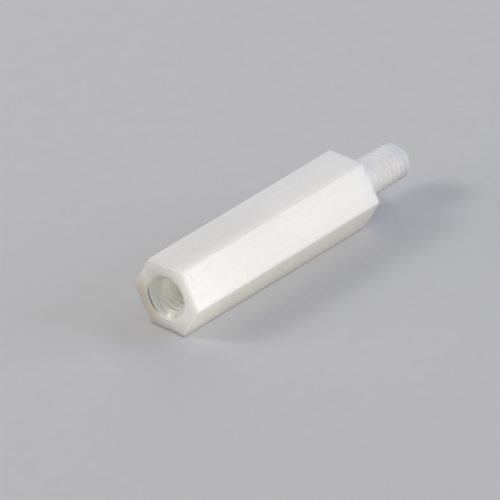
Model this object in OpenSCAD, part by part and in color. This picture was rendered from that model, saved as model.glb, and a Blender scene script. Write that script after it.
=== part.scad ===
// Male-female hex standoff, moulded in one piece in natural nylon: a hexagonal body with a
// blind threaded hole in one end and a threaded stud on the other.
// It lies on one flat, with its axis along X and the stud towards +X. The origin is on the
// axis, in the shoulder face that seats on a board. Threads are drawn plain: the hole at its
// tapping size, the stud at its crests.

/* [Hex body] */
// Distance across two opposite flats
across_flats = 5.5; // [5:0.1:8]
// Length of the body, from the end face with the hole to the shoulder
body_length = 20; // [14:1:60]
// Radius on the six long edges
long_edge_r = 0.15; // [0.05:0.05:0.4]
// Radius round the two end faces
end_edge_r = 0.2; // [0.05:0.05:0.3]

/* [Thread] */
// Nominal diameter of the metric thread at both ends
thread_d = 3; // [2.5:0.5:4]
// Pitch of that thread
thread_pitch = 0.5; // [0.4:0.05:0.7]

/* [Stud] */
// Length of the stud, from the shoulder to its tip
stud_length = 5.8; // [3:0.1:12]
// How far the crests lie inside the nominal thread, all round
crest_clearance = 0.04; // [0:0.01:0.1]
// Length along the axis of the tapered lead at the tip
lead_length = 0.6; // [0.3:0.1:1.2]
// How far the flat of the tip lies inside the thread's roots, all round
tip_clearance = 0.2; // [0.05:0.05:0.3]
// Radius that blends the stud into the lead
lead_blend_r = 0.5; // [0.1:0.1:0.5]
// Radius that blends the lead into the flat of the tip
tip_blend_r = 0.15; // [0.05:0.05:0.3]

/* [Hole] */
// Depth of the hole at full diameter, from the end face
hole_depth = 10; // [6:0.5:12]
// Width of the countersunk ring outside the nominal thread
countersink_margin = 0.35; // [0.1:0.05:0.6]
// Full angle of the countersink
countersink_angle = 90; // [60:5:120]
// Full angle of the cone at the bottom of the hole
bottom_angle = 118; // [90:2:150]

/* [Hidden] */

$fn = 96;
sides = 6;
side_angle = 360 / sides;
body_corner_r = across_flats / 2 / cos(side_angle / 2);
overlap = 0.5; // how far the stud starts inside the body, and cutting shapes run past it

// metric thread: an eighth of the sharp V's depth is cut off the crests, a sixth off the roots
thread_angle = 60;
sharp_depth = thread_pitch / 2 / tan(thread_angle / 2);
root_depth = sharp_depth * (1 - 1 / 8 - 1 / 6);
stud_r = thread_d / 2 - crest_clearance;
tip_r = thread_d / 2 - root_depth - tip_clearance;

tapping_r = (thread_d - thread_pitch) / 2;
mouth_r = thread_d / 2 + countersink_margin;
countersink_slope = tan(countersink_angle / 2);
countersink_depth = (mouth_r - tapping_r) / countersink_slope;
bottom_depth = tapping_r / tan(bottom_angle / 2);

function unit(v) = v / norm(v);

// A convex outline whose corners have the given radii. A radius of 0 leaves a corner sharp.
module rounded_outline(corners, radii) {
  count = len(corners);
  before = [for (i = [0:count - 1]) unit(corners[(i + count - 1) % count] - corners[i])];
  after = [for (i = [0:count - 1]) unit(corners[(i + 1) % count] - corners[i])];
  half_angle = [for (i = [0:count - 1]) acos(before[i] * after[i]) / 2];
  polygon([
    for (i = [0:count - 1])
      let (set_back = radii[i] / tan(half_angle[i]))
        each set_back == 0
          ? [corners[i]]
          : [corners[i] + set_back * before[i], corners[i] + set_back * after[i]]
  ]);
  for (i = [0:count - 1])
    if (radii[i] > 0)
      translate(corners[i] + unit(before[i] + after[i]) * radii[i] / sin(half_angle[i]))
        circle(radii[i]);
}

// lays a piece that is drawn upwards on Z along X, with its own X towards Y
module along_x() {
  rotate([90, 0, 90])
    children();
}

// the hexagonal section, with its flats at top and bottom once it lies along X
module hexagon() {
  corners = [for (i = [0:sides - 1]) body_corner_r * [cos(i * side_angle), sin(i * side_angle)]];
  rounded_outline(corners, [for (i = [0:sides - 1]) long_edge_r]);
}

// A slab as thick as one pair of flats is apart and as long as the body, with the rounding of
// both end faces along it. The three slabs together round the whole outline of each end.
module end_rounding_slab() {
  width = 2 * body_corner_r + 2 * overlap;
  corners = [
    [-across_flats / 2, 0],
    [across_flats / 2, 0],
    [across_flats / 2, body_length],
    [-across_flats / 2, body_length]
  ];
  translate([-width / 2, 0, 0])
    along_x()
      linear_extrude(width)
        rounded_outline(corners, [for (corner = corners) end_edge_r]);
}

module hex_bar() {
  intersection() {
    linear_extrude(body_length)
      hexagon();
    end_rounding_slab();
    rotate(side_angle)
      end_rounding_slab();
    rotate(2 * side_angle)
      end_rounding_slab();
  }
}

module stud() {
  rotate_extrude()
    rounded_outline([
      [0, -overlap],
      [stud_r, -overlap],
      [stud_r, stud_length - lead_length],
      [tip_r, stud_length],
      [0, stud_length]
    ], [0, 0, lead_blend_r, tip_blend_r, 0]);
}

// the countersunk mouth, the hole at its tapping size and the cone at its bottom
module hole() {
  rotate_extrude()
    polygon([
      [0, -overlap],
      [mouth_r + overlap * countersink_slope, -overlap],
      [tapping_r, countersink_depth],
      [tapping_r, hole_depth],
      [0, hole_depth + bottom_depth]
    ]);
}

module hex_standoff() {
  color([0.88, 0.88, 0.85])
    along_x()
      difference() {
        union() {
          translate([0, 0, -body_length])
            hex_bar();
          stud();
        }
        translate([0, 0, -body_length])
          hole();
      }
}

hex_standoff();
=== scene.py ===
import math

import bpy
from mathutils import Matrix, Vector


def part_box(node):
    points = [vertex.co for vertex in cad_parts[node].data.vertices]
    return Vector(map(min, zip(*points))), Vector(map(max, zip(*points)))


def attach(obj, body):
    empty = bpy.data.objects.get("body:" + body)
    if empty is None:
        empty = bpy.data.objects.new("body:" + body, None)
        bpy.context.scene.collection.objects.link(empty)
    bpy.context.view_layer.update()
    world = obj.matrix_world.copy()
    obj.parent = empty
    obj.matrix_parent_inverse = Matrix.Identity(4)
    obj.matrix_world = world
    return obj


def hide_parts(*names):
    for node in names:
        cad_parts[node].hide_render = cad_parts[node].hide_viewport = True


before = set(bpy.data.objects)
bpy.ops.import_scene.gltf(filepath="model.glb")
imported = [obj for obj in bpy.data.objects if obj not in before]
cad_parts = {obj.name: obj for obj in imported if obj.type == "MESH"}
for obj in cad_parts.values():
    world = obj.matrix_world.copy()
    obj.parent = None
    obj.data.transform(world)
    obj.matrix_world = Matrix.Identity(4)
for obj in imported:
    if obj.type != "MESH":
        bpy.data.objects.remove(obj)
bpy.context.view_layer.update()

barLow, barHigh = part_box("hex_standoff")

mm = 0.001
acrossFlats = barHigh.z - barLow.z
endX = barLow.x            # the end face with the hole
tipX = barHigh.x           # the stud's tip; the shoulder is at x = 0
middle = (barLow + barHigh) / 2

# mm; points nearer than this are merged
weld = {
    "edit": 0.0002,
    "cut": 0.0006,          # after a boolean
    "bar": 0.003,
    "plane": 0.000001,      # to the plane that cuts a thread off
}


def clearSelection():
    if bpy.context.mode != "OBJECT":
        bpy.ops.object.mode_set(mode="OBJECT")
    bpy.ops.object.select_all(action="DESELECT")


def pickOnly(piece):
    clearSelection()
    piece.select_set(True)
    bpy.context.view_layer.objects.active = piece


def settle(piece):
    # the object goes to the origin, its place into its mesh
    pickOnly(piece)
    bpy.ops.object.transform_apply(location=True, rotation=True, scale=True)


def openEdit(piece):
    pickOnly(piece)
    bpy.ops.object.mode_set(mode="EDIT")
    bpy.ops.mesh.select_all(action="SELECT")


def closeEdit(gap=weld["edit"]):
    bpy.ops.mesh.select_all(action="SELECT")
    bpy.ops.mesh.remove_doubles(threshold=gap * mm)
    bpy.ops.mesh.normals_make_consistent(inside=False)
    bpy.ops.object.mode_set(mode="OBJECT")


def roundEdges(piece, wanted, setBack, segments):
    # only the edges whose direction passes the test
    pickOnly(piece)
    bpy.ops.object.mode_set(mode="EDIT")
    bpy.ops.mesh.select_mode(type="EDGE")
    bpy.ops.mesh.select_all(action="DESELECT")
    bpy.ops.object.mode_set(mode="OBJECT")
    for edge in piece.data.edges:
        first, last = (piece.data.vertices[v].co for v in edge.vertices)
        edge.select = wanted(last - first)
    bpy.ops.object.mode_set(mode="EDIT")
    bpy.ops.mesh.bevel(
        offset_type="OFFSET", offset=setBack, segments=segments, profile=0.5, affect="EDGES",
        clamp_overlap=False,
    )
    closeEdit()


def applyModifier(piece, modifier):
    pickOnly(piece)
    bpy.ops.object.modifier_apply(modifier=modifier.name)


def inMetres(points):
    return [(along * mm, out * mm) for along, out in points]


def drawLine(name, points):
    # points are (along the axis, out from the axis) in metres, drawn in the plane of X and Z
    places = [Vector((along, 0, out)) for along, out in points]
    clearSelection()
    bpy.ops.mesh.primitive_plane_add(size=mm, location=places[0])
    line = bpy.context.object
    line.name = name
    bpy.ops.object.mode_set(mode="EDIT")
    bpy.ops.mesh.select_mode(type="VERT")
    bpy.ops.mesh.select_all(action="SELECT")
    bpy.ops.mesh.merge(type="CENTER")
    for before, after in zip(places, places[1:]):
        bpy.ops.mesh.extrude_vertices_move(TRANSFORM_OT_translate={"value": after - before})
    bpy.ops.object.mode_set(mode="OBJECT")
    settle(line)
    return line


def roundCorners(points, radii, steps=6):
    # each corner with a radius becomes an arc that is tangent to both of its sides
    rounded = []
    for i, corner in enumerate(points):
        if radii[i] == 0:
            rounded.append(corner)
            continue
        here = Vector(corner)
        back = (Vector(points[i - 1]) - here).normalized()
        ahead = (Vector(points[i + 1]) - here).normalized()
        half = back.angle(ahead) / 2
        centre = here + (back + ahead).normalized() * radii[i] / math.sin(half)
        first = here + back * radii[i] / math.tan(half) - centre
        last = here + ahead * radii[i] / math.tan(half) - centre
        sweep = first.angle(last)
        for k in range(steps + 1):
            share = k / steps
            spoke = (first * math.sin((1 - share) * sweep) + last * math.sin(share * sweep)) / math.sin(sweep)
            rounded.append(tuple(centre + spoke))
    return rounded


def turn(name, points, steps=96):
    # a line from axis to axis, turned all round as on a lathe
    piece = drawLine(name, points)
    openEdit(piece)
    bpy.ops.mesh.spin(steps=steps, angle=math.tau, center=(0, 0, 0), axis=(1, 0, 0))
    closeEdit()
    return piece


def combine(piece, tool, operation):
    cut = piece.modifiers.new(operation.lower(), "BOOLEAN")
    cut.operation = operation
    cut.object = tool
    cut.solver = "EXACT"
    applyModifier(piece, cut)
    bpy.data.objects.remove(tool, do_unlink=True)
    # slivers that the cut leaves are welded shut before the next one
    openEdit(piece)
    closeEdit(weld["cut"])


# camera
camera = {
    "turn": -47.454,        # degrees about the upright
    "tilt": 59.051,         # degrees up from straight down
    "roll": -1.878,
    "distance": 636.272,    # mm from the middle of the standoff
    "right": -2.4926,       # mm that the view's centre lies right of that middle
    "up": -1.6971,
    "lens": 627.806,
    "sensor": 36,
    "nearest": 10,          # mm; nothing nearer is seen
}


def addCamera():
    bpy.ops.object.camera_add()
    eye = bpy.context.object
    eye.name = "camera"
    pose = (
        Matrix.Rotation(math.radians(camera["turn"]), 4, "Z")
        @ Matrix.Rotation(math.radians(camera["tilt"]), 4, "X")
        @ Matrix.Rotation(math.radians(camera["roll"]), 4, "Z")
    )
    offset = Vector((camera["right"], camera["up"], camera["distance"])) * mm
    eye.matrix_world = Matrix.Translation(middle + pose.to_3x3() @ offset) @ pose
    eye.data.lens = camera["lens"]
    eye.data.sensor_width = camera["sensor"]
    eye.data.clip_start = camera["nearest"] * mm
    bpy.context.scene.camera = eye


clearSelection()
addCamera()
print("camera set")

# hexagonal bar
bar = {
    "longEdge": 0.15,       # mm, radius on the six long edges
    "endEdge": 0.2,         # mm, radius round both ends
    "longSegments": 6,
    "endSegments": 6,
    "overrun": 1,           # mm that the prism is longer than the bar at each end
    "slabWidth": 10,
    "clear": 0.001,         # mm that the slabs stand outside the flats
    "smoothAngle": 35,      # degrees; sharper edges stay sharp
    "faceWeight": 50,       # even, so that only the area of a face counts in the normals
}


def makePrism():
    # longer than the bar at both ends, with its long edges rounded
    cornerRadius = acrossFlats / 2 / math.cos(math.pi / 6)
    clearSelection()
    bpy.ops.mesh.primitive_cylinder_add(
        vertices=6, radius=cornerRadius, depth=-endX + 2 * bar["overrun"] * mm,
        location=(endX / 2, 0, 0), rotation=(0, math.pi / 2, 0),
    )
    piece = bpy.context.object
    piece.name = "hexStandoff"
    settle(piece)
    setBack = bar["longEdge"] * mm * math.tan(math.pi / 6)
    roundEdges(piece, lambda span: abs(span.x) > mm, setBack, bar["longSegments"])
    return piece


def makeSlab(angle):
    # as thick as the bar, rounded along its ends; where three cross, their ends are the bar's ends
    clearSelection()
    bpy.ops.mesh.primitive_cube_add(
        size=1, location=(endX / 2, 0, 0),
        scale=(-endX, bar["slabWidth"] * mm, acrossFlats + 2 * bar["clear"] * mm),
    )
    slab = bpy.context.object
    slab.name = "slab"
    settle(slab)
    roundEdges(slab, lambda span: abs(span.y) > mm, bar["endEdge"] * mm, bar["endSegments"])
    slab.rotation_euler.x = math.radians(angle)
    settle(slab)
    return slab


def makeBar():
    piece = makePrism()
    for angle in (0, 60, 120):
        combine(piece, makeSlab(angle), "INTERSECT")
    openEdit(piece)
    closeEdit(weld["bar"])
    return piece


standoff = makeBar()
print("bar", len(standoff.data.polygons), "faces")

# thread of both ends, metric, right-handed
thread = {
    "diameter": 3.0,        # mm
    "pitch": 0.5,
    "flank": 30.0,          # degrees off square
    "steps": 96,            # round one turn
}


def ridgeWidth(radius):
    # of the basic profile, an eighth of the pitch wide at the nominal diameter
    inward = thread["diameter"] / 2 - radius
    return thread["pitch"] / 8 + 2 * inward * math.tan(math.radians(thread["flank"]))


def ridge(low, high, lowRound, highRound):
    # one pitch long, from the middle of a valley to the middle of the next
    pitch = thread["pitch"]
    foot, top = ridgeWidth(low) / 2, ridgeWidth(high) / 2
    corners = [
        (0, low), (pitch / 2 - foot, low), (pitch / 2 - top, high),
        (pitch / 2 + top, high), (pitch / 2 + foot, low), (pitch, low),
    ]
    return inMetres(roundCorners(corners, [0, lowRound, highRound, highRound, lowRound, 0], steps=3))


def windThread(name, points, start, end):
    # one ridge, wound up the axis as a right-handed screw and cut off square at both ends
    pitch = thread["pitch"] * mm
    piece = drawLine(name, [(start - pitch + along, out) for along, out in points])
    screw = piece.modifiers.new("wind", "SCREW")
    screw.axis = "X"
    screw.screw_offset = pitch
    screw.iterations = math.ceil((end - start) / pitch) + 2
    screw.steps = thread["steps"]
    screw.render_steps = thread["steps"]
    applyModifier(piece, screw)
    for place, outward in ((start, -1), (end, 1)):
        openEdit(piece)
        bpy.ops.mesh.remove_doubles(threshold=weld["edit"] * mm)
        bpy.ops.mesh.select_all(action="SELECT")
        bpy.ops.mesh.bisect(
            plane_co=(place, 0, 0), plane_no=(outward, 0, 0), use_fill=True, clear_outer=True,
            threshold=weld["plane"] * mm,
        )
        closeEdit()
    return piece


# stud
stud = {
    "crest": 1.46,          # mm, radius
    "root": 1.193,
    "crestRound": 0.03,
    "rootRound": 0.04,
    "lead": 0.6,            # mm along the axis
    "tip": 0.993,           # mm, radius where the lead would meet the tip's flat
    "leadBlend": 0.5,
    "tipBlend": 0.15,
    "clear": 0.02,          # mm that the turned outline passes outside the crests
    "inside": 0.2,          # mm that the stud starts inside the bar
    "overrun": 1,           # mm that the thread and the outline run past each other
}


def makeStud():
    tip, overrun = tipX / mm, stud["overrun"]
    line = ridge(stud["root"], stud["crest"], stud["rootRound"], stud["crestRound"])
    piece = windThread("studThread", line, -stud["inside"] * mm, tipX + overrun * mm)
    outer = stud["crest"] + stud["clear"]
    outline = roundCorners(
        [(-overrun, 0), (-overrun, outer), (tip - stud["lead"], outer), (tip, stud["tip"]), (tip, 0)],
        [0, 0, stud["leadBlend"], stud["tipBlend"], 0],
    )
    combine(piece, turn("studBlank", inMetres(outline)), "INTERSECT")
    return piece


combine(standoff, makeStud(), "UNION")
print("stud", len(standoff.data.polygons), "faces")

# hole
hole = {
    "mouth": 1.85,          # mm, radius of the countersink in the end face
    "core": 1.25,           # mm, radius inside the thread's ridges
    "outer": 1.52,          # mm, radius at the bottom of its valleys
    "coreRound": 0.03,
    "outerRound": 0.015,
    "depth": 10.0,
    "threadDepth": 9.7,
    "bottom": 118.0,        # degrees, whole angle of the cone
    "rimBreak": 0.03,       # mm that the mouth's edge is broken
    "rimLift": 0.002,       # mm outside the end face, where the broken edge starts
    "coneRound": 0.1,       # mm, radius where the countersink meets the bore
    "bottomRound": 0.05,
    "clear": 0.004,         # mm that the drill is smaller than the ridges
    "drillOverrun": 1,      # mm that the drill and the tap start outside the end face
    "tapOverrun": 0.6,
    "paintedCrescent": 1.85,           # mm, radius of the painted dark crescent's line, and where its centre lies
    "crescentAside": -0.06,
    "crescentUp": 0.037,
}


def makeHole():
    end = endX / mm
    start, bottom = end - hole["drillOverrun"], end + hole["depth"]
    rim, lift = hole["rimBreak"], hole["rimLift"]
    drill = hole["core"] - hole["clear"]
    outline = roundCorners(
        [
            (start, 0), (start, hole["mouth"] + rim), (end - lift, hole["mouth"] + rim),
            (end + rim - lift, hole["mouth"] - rim), (end + hole["mouth"] - drill, drill), (bottom, drill),
            (bottom + drill / math.tan(math.radians(hole["bottom"] / 2)), 0),
        ],
        [0, 0, 0, 0, hole["coneRound"], hole["bottomRound"], 0],
    )
    combine(standoff, turn("drill", inMetres(outline)), "DIFFERENCE")
    line = ridge(hole["core"], hole["outer"], hole["coreRound"], hole["outerRound"])
    tap = windThread("tap", line, endX - hole["tapOverrun"] * mm, endX + hole["threadDepth"] * mm)
    combine(standoff, tap, "DIFFERENCE")


makeHole()
print("hole", len(standoff.data.polygons), "faces")

openEdit(standoff)
closeEdit()
settle(standoff)
bpy.ops.object.shade_smooth_by_angle(angle=math.radians(bar["smoothAngle"]))

# the large faces set the normals, so that the flats shade flat up to their rounded edges
weights = standoff.modifiers.new("weights", "WEIGHTED_NORMAL")
weights.mode = "FACE_AREA"
weights.weight = bar["faceWeight"]
weights.keep_sharp = True
applyModifier(standoff, weights)


# materials
def newMaterial(name):
    material = bpy.data.materials.new(name)
    material.use_nodes = True
    nodes, links = material.node_tree.nodes, material.node_tree.links
    return material, nodes, links, nodes["Principled BSDF"]


def addNode(nodes, kind, **settings):
    node = nodes.new(kind)
    for name, value in settings.items():
        setattr(node, name, value)
    return node


def addMath(nodes, links, operation, *values):
    # numbers are typed in, anything else is linked
    node = addNode(nodes, "ShaderNodeMath", operation=operation)
    for socket, value in zip(node.inputs, values):
        if isinstance(value, (int, float)):
            socket.default_value = value
        else:
            links.new(value, socket)
    return node.outputs["Value"]


def addProduct(nodes, links, first, *others):
    for other in others:
        first = addMath(nodes, links, "MULTIPLY", first, other)
    return first


def addShares(nodes, links, first, *others):
    # each is (value, share), and the shares are summed
    total = addMath(nodes, links, "MULTIPLY", *first)
    for value, share in others:
        total = addMath(nodes, links, "MULTIPLY_ADD", value, share, total)
    return total


def addRadius(nodes, links, across, up):
    square = addMath(nodes, links, "MULTIPLY", across, across)
    return addMath(nodes, links, "SQRT", addMath(nodes, links, "MULTIPLY_ADD", up, up, square))


def addRamp(nodes, links, value, start, end, low=0.0, high=1.0):
    # low below start, high above end, smooth between
    node = addNode(nodes, "ShaderNodeMapRange", interpolation_type="SMOOTHSTEP")
    node.inputs["From Min"].default_value = start
    node.inputs["From Max"].default_value = end
    node.inputs["To Min"].default_value = low
    node.inputs["To Max"].default_value = high
    links.new(value, node.inputs["Value"])
    return node.outputs["Result"]


def addBlend(nodes, links, mask, first, second):
    # a colour is typed in, anything else is linked
    node = addNode(nodes, "ShaderNodeMix", data_type="RGBA")
    links.new(mask, node.inputs["Factor"])
    for socket, value in ((node.inputs[6], first), (node.inputs[7], second)):
        if isinstance(value, tuple):
            socket.default_value = value
        else:
            links.new(value, socket)
    return node.outputs[2]


def addBump(nodes, links, shader, height, distance):
    bump = nodes.new("ShaderNodeBump")
    bump.inputs["Distance"].default_value = distance * mm
    links.new(height, bump.inputs["Height"])
    links.new(bump.outputs["Normal"], shader.inputs["Normal"])
    return bump


def makeGrain():
    # noise on the object's own coordinates, stretched and sharpened as each use asks
    group = bpy.data.node_groups.new("surfaceGrain", "ShaderNodeTree")
    for name in ("Stretch", "Shift"):
        group.interface.new_socket(name, in_out="INPUT", socket_type="NodeSocketVector")
    for name in ("Scale", "Detail", "Contrast"):
        group.interface.new_socket(name, in_out="INPUT", socket_type="NodeSocketFloat")
    group.interface.new_socket("Mask", in_out="OUTPUT", socket_type="NodeSocketFloat")
    nodes, links = group.nodes, group.links
    given, result = nodes.new("NodeGroupInput"), nodes.new("NodeGroupOutput")
    place = nodes.new("ShaderNodeTexCoord")
    mapping = nodes.new("ShaderNodeMapping")
    noise = nodes.new("ShaderNodeTexNoise")
    links.new(place.outputs["Object"], mapping.inputs["Vector"])
    links.new(given.outputs["Stretch"], mapping.inputs["Scale"])
    links.new(given.outputs["Shift"], mapping.inputs["Location"])
    links.new(mapping.outputs["Vector"], noise.inputs["Vector"])
    links.new(given.outputs["Scale"], noise.inputs["Scale"])
    links.new(given.outputs["Detail"], noise.inputs["Detail"])
    centred = addMath(nodes, links, "SUBTRACT", noise.outputs["Fac"], 0.5)
    sharper = addMath(nodes, links, "MULTIPLY_ADD", centred, given.outputs["Contrast"], 0.5)
    sharper.node.use_clamp = True
    links.new(sharper, result.inputs["Mask"])
    return group


grainGroup = makeGrain()

# stretch along each axis, shift in metres, scale, detail, contrast
grains = {
    "clouds": ((0.6, 1, 1), (0.003, 0, 0), 1300, 2, 3.5),          # milky patches in the nylon
    "mottle": ((0.7, 1, 1), (0, 0.005, 0), 3200, 2, 3.5),
    "dragLines": ((0.03, 1, 1), (0, 0.002, 0), 5200, 3, 1.5),      # along the body
    "fineGrain": ((0.6, 1, 1), (0, 0, 0.004), 9000, 3, 1.3),
    "floorFlecks": ((1, 1, 1), (0.1, 0, 0), 900, 4, 1.4),
}


def addGrain(nodes, name):
    node = addNode(nodes, "ShaderNodeGroup", node_tree=grainGroup)
    for socket, value in zip(("Stretch", "Shift", "Scale", "Detail", "Contrast"), grains[name]):
        node.inputs[socket].default_value = value
    return node.outputs["Mask"]


nylon = {
    "colour": (0.98, 0.972, 0.95, 1),
    "clouded": (0.88, 0.872, 0.852, 1),
    "edgeHighlightColour": (0.985, 0.982, 0.975, 1),
    "endShadeTint": (0.78, 0.73, 0.6, 1),
    "studShadeTint": (0.865, 0.88, 0.97, 1),
    "tipShadeTint": (0.7, 0.715, 0.83, 1),
    "holeShadeTint": (0.79, 0.785, 0.74, 1),
    # painted shade: the dark crescent just inside the countersink's edge
    "crescentShadeColour": (0.25, 0.24, 0.21, 1),
    "cloudsShare": 0.45,    # of the clouding
    "mottleShare": 0.4,
    "linesShare": 0.15,
    "farClouding": 0.5,     # how much of it is left towards the stud
    "scatter": 2.0,         # mm
    "scatterRadius": (1.2, 1.2, 1.15),
    "roughness": 0.22,      # where the mould was smooth
    "dulled": 0.44,         # along the drag lines
    "inside": 0.12,         # in the hole, which the tap left smooth
    "linesGloss": 0.5,      # how far lines and grain dull it
    "grainGloss": 0.5,
    "ior": 1.53,
    "relief": 0.012,        # mm that the drag lines and the grain stand
    "linesRelief": 0.6,
    "grainRelief": 0.4,
    "smoother": 0.8,        # how much of that relief the hole lacks
    "paintedGlow": (1.0, 0.96, 0.9, 1),   # painted light: the hole's wall glows, standing in for light that comes through the wall
    "paintedGlowStrength": 0.072,
    "lowSide": (0.91, -0.42),      # share of Y and of Z in the direction of the end's low side
}

# mm between which each zone of the nylon comes in or fades out
zones = {
    "edges": (2.97, 3.1),          # out from the axis
    "bore": (1.75, 1.88),
    "handled": (0, 10),            # in from the end face
    "endFace": (0.1, 0.5),
    "holeStart": (0.02, 0.3),
    "holeEnd": (11, 12),
    "paintedGlowStart": (0.4, 1.3),
    "crescentStart": (0.02, 0.05),
    "crescentEnd": (0.4, 0.6),
    "crescentLine": (0.03, 0.08),      # off the painted crescent's line
    "crescentThick": (1.2, 1.86),      # towards the low side
    "endShade": (1.1, 2.3),
    "stud": (-0.3, 0.5),           # on from the shoulder
    "tip": (-1.8, -0.5),           # on from the tip
}


def addZone(nodes, links, value, name, base=0, low=0.0, high=1.0):
    start, end = zones[name]
    return addRamp(nodes, links, value, base + start * mm, base + end * mm, low, high)


def addPaintedCrescent(nodes, links, along, across, up, lowSide):
    # painted shade: a dark crescent just inside the countersink's edge, set a little off the axis
    aside = addMath(nodes, links, "SUBTRACT", across, hole["crescentAside"] * mm)
    above = addMath(nodes, links, "SUBTRACT", up, hole["crescentUp"] * mm)
    away = addRadius(nodes, links, aside, above)
    offLine = addMath(nodes, links, "ABSOLUTE", addMath(nodes, links, "SUBTRACT", away, hole["paintedCrescent"] * mm))
    onLine = addZone(nodes, links, offLine, "crescentLine", 0, 1.0, 0.0)
    thick = addZone(nodes, links, lowSide, "crescentThick")
    inCone = addZone(nodes, links, along, "crescentStart", endX)
    inMouth = addZone(nodes, links, along, "crescentEnd", endX, 1.0, 0.0)
    return addProduct(nodes, links, onLine, thick, inCone, inMouth)


def nylonMaterial():
    material, nodes, links, shader = newMaterial("naturalNylon")
    place = nodes.new("ShaderNodeTexCoord")
    parts = nodes.new("ShaderNodeSeparateXYZ")
    links.new(place.outputs["Object"], parts.inputs["Vector"])
    along, across, up = (parts.outputs[axis] for axis in "XYZ")
    radius = addRadius(nodes, links, across, up)
    lowSide = addShares(nodes, links, (across, nylon["lowSide"][0]), (up, nylon["lowSide"][1]))

    # clouding in the plastic, less of it towards the stud
    clouds, mottle = addGrain(nodes, "clouds"), addGrain(nodes, "mottle")
    lines, grain = addGrain(nodes, "dragLines"), addGrain(nodes, "fineGrain")
    tint = addShares(
        nodes, links,
        (clouds, nylon["cloudsShare"]), (lines, nylon["linesShare"]), (mottle, nylon["mottleShare"]),
    )
    handled = addZone(nodes, links, along, "handled", endX, 1.0, nylon["farClouding"])
    tint = addProduct(nodes, links, tint, handled)
    body = addBlend(nodes, links, tint, nylon["colour"], nylon["clouded"])

    # painted highlight: the long edges and the end outline lighter
    edges = addZone(nodes, links, radius, "edges")
    body = addBlend(nodes, links, edges, body, nylon["edgeHighlightColour"])

    # painted shade: the low side of the end face darker and warmer
    onEnd = addZone(nodes, links, along, "endFace", endX, 1.0, 0.0)
    endShade = addProduct(nodes, links, onEnd, addZone(nodes, links, lowSide, "endShade"))
    body = addBlend(nodes, links, endShade, body, nylon["endShadeTint"])

    # painted shade: the stud, where the plastic is thin, darker and cooler, and darker still towards the tip
    studShade = addZone(nodes, links, along, "stud")
    body = addBlend(nodes, links, studShade, body, nylon["studShadeTint"])
    tipShade = addZone(nodes, links, along, "tip", tipX)
    body = addBlend(nodes, links, tipShade, body, nylon["tipShadeTint"])

    # painted shade: the hole's wall darker, and a dark crescent just inside its mouth
    inBore = addZone(nodes, links, radius, "bore", 0, 1.0, 0.0)
    nearEnd = addZone(nodes, links, along, "holeEnd", endX, 1.0, 0.0)
    pastFace = addZone(nodes, links, along, "holeStart", endX)
    inHole = addProduct(nodes, links, nearEnd, pastFace, inBore)
    body = addBlend(nodes, links, inHole, body, nylon["holeShadeTint"])
    paintedCrescent = addPaintedCrescent(nodes, links, along, across, up, lowSide)
    links.new(addBlend(nodes, links, paintedCrescent, body, nylon["crescentShadeColour"]), shader.inputs["Base Color"])

    # painted light: the hole's wall glows, standing in for light that the walls let through into the hole
    paintedGlowMask = addProduct(nodes, links, inHole, addZone(nodes, links, along, "paintedGlowStart", endX))
    paintedGlow = addBlend(nodes, links, paintedGlowMask, (0, 0, 0, 1), nylon["paintedGlow"])
    links.new(paintedGlow, shader.inputs["Emission Color"])
    shader.inputs["Emission Strength"].default_value = nylon["paintedGlowStrength"]

    # gloss and relief
    dull = addShares(nodes, links, (lines, nylon["linesGloss"]), (grain, nylon["grainGloss"]))
    dull.node.use_clamp = True
    span = nylon["dulled"] - nylon["roughness"]
    rough = addMath(nodes, links, "MULTIPLY_ADD", dull, span, nylon["roughness"])
    polish = addProduct(nodes, links, inHole, addMath(nodes, links, "SUBTRACT", rough, nylon["inside"]))
    links.new(addMath(nodes, links, "SUBTRACT", rough, polish), shader.inputs["Roughness"])
    height = addShares(nodes, links, (lines, nylon["linesRelief"]), (grain, nylon["grainRelief"]))
    bump = addBump(nodes, links, shader, height, nylon["relief"])
    strength = addMath(nodes, links, "MULTIPLY_ADD", inHole, -nylon["smoother"], 1.0)
    links.new(strength, bump.inputs["Strength"])

    shader.inputs["IOR"].default_value = nylon["ior"]
    shader.inputs["Subsurface Weight"].default_value = 1.0
    shader.inputs["Subsurface Radius"].default_value = nylon["scatterRadius"]
    shader.inputs["Subsurface Scale"].default_value = nylon["scatter"] * mm
    return material


standoff.data.materials.clear()
standoff.data.materials.append(nylonMaterial())
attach(standoff, "root")
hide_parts("hex_standoff")
print("nylon set")

# stage
stage = {
    "size": 4,                             # metres
    "floor": (0.62, 0.62, 0.63, 1),
    "fleck": 0.96,                         # of the floor's colour, in its flecks
    "floorDim": (0.05, 0.05, 0.055, 1),    # to the light that bounces up under the standoff
    "floorLift": (0.12, 0.12, 0.125, 1),   # paler to the camera
    "roughness": 0.8,
    "fleckRoughness": 0.15,                # more in the flecks
    "specular": 0.2,
    "relief": 0.02,                        # mm
    "world": (1, 1, 1, 1),
    "ambient": 0.15,
}

# direction from the standoff, distance, width and height in metres, power in watts, colour,
# and whether it lights the floor
lamps = {
    "keySoftbox": ((0.605, -0.755, 0.253), 0.5, 0.32, 0.32, 1.12, (0.7, 0.79, 1), True),
    "leftSoftbox": ((-0.75, 0.6, 0.35), 0.5, 0.4, 0.4, 1.01, (1, 0.92, 0.84), True),
    "backSoftbox": ((0.7, 0.6, 0.45), 0.5, 0.3, 0.3, 0.4, (0.93, 0.93, 1), True),
    "overStrip": ((0.632, -0.155, 0.759), 0.5, 0.36, 0.1, 0.283, (1, 1, 1), True),
    "smallLamp": ((-0.53, 0.58, 0.62), 0.4, 0.1, 0.1, 0.26, (1, 1, 1), True),
    "lowPanel": ((-0.081, -0.977, 0.199), 0.08, 0.022, 0.022, 0.0286, (1, 0.88, 0.62), False),
    "endPanel": ((-0.867, -0.492, 0.0757), 0.0264, 0.006, 0.006, 0.00086, (1, 1, 0.98), False),
}


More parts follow.
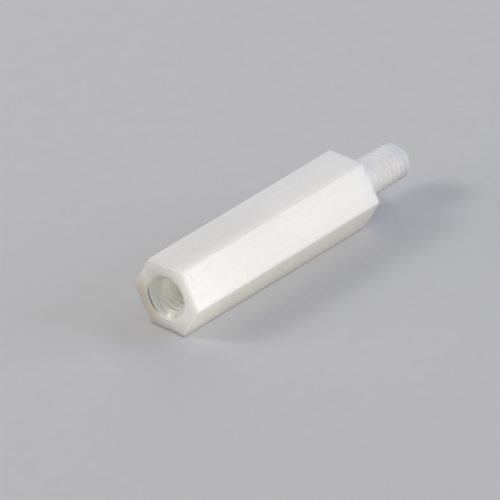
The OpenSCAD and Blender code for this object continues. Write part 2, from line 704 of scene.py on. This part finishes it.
def floorMaterial():
    material, nodes, links, shader = newMaterial("paleFloor")
    flecks = addGrain(nodes, "floorFlecks")
    darker = tuple(stage["fleck"] * c for c in stage["floor"])
    links.new(addBlend(nodes, links, flecks, stage["floor"], darker), shader.inputs["Base Color"])
    rough = addMath(nodes, links, "MULTIPLY_ADD", flecks, stage["fleckRoughness"], stage["roughness"])
    links.new(rough, shader.inputs["Roughness"])
    shader.inputs["Specular IOR Level"].default_value = stage["specular"]
    shader.inputs["Emission Color"].default_value = stage["floorLift"]
    shader.inputs["Emission Strength"].default_value = 1.0
    addBump(nodes, links, shader, flecks, stage["relief"])

    # pale to the camera, dim to the light that bounces up under the standoff
    path = nodes.new("ShaderNodeLightPath")
    seen = addMath(nodes, links, "MAXIMUM", path.outputs["Is Camera Ray"], path.outputs["Is Glossy Ray"])
    seen = addMath(nodes, links, "MAXIMUM", seen, path.outputs["Is Transmission Ray"])
    dim = nodes.new("ShaderNodeBsdfDiffuse")
    dim.inputs["Color"].default_value = stage["floorDim"]
    either = nodes.new("ShaderNodeMixShader")
    links.new(seen, either.inputs["Fac"])
    links.new(dim.outputs["BSDF"], either.inputs[1])
    links.new(shader.outputs["BSDF"], either.inputs[2])
    links.new(either.outputs["Shader"], nodes["Material Output"].inputs["Surface"])
    return material


def addFloor():
    clearSelection()
    bpy.ops.mesh.primitive_plane_add(size=stage["size"], location=(0, 0, barLow.z))
    floor = bpy.context.object
    floor.name = "floor"
    settle(floor)
    floor.data.materials.append(floorMaterial())
    return floor


def addLamp(name, direction, distance, width, height, power, colour, onFloor):
    clearSelection()
    towards = Vector(direction).normalized()
    bpy.ops.object.light_add(type="AREA", location=middle + towards * distance)
    lamp = bpy.context.object
    lamp.name = name
    lamp.rotation_euler = towards.to_track_quat("Z", "Y").to_euler()
    lamp.data.shape = "RECTANGLE"
    lamp.data.size = width
    lamp.data.size_y = height
    lamp.data.energy = power
    lamp.data.color = colour
    lamp.visible_camera = False
    if not onFloor:
        lamp.light_linking.receiver_collection = offFloor


def addWorld():
    world = bpy.data.worlds.new("studio")
    world.use_nodes = True
    background = world.node_tree.nodes["Background"]
    background.inputs["Color"].default_value = stage["world"]
    background.inputs["Strength"].default_value = stage["ambient"]
    bpy.context.scene.world = world


# what the two close panels leave unlit, so that the floor stays even
offFloor = bpy.data.collections.new("offFloor")
offFloor.objects.link(addFloor())
offFloor.collection_objects[0].light_linking.link_state = "EXCLUDE"
for name, settings in lamps.items():
    addLamp(name, *settings)
addWorld()
bpy.context.scene.view_settings.view_transform = "Standard"
print("stage set")
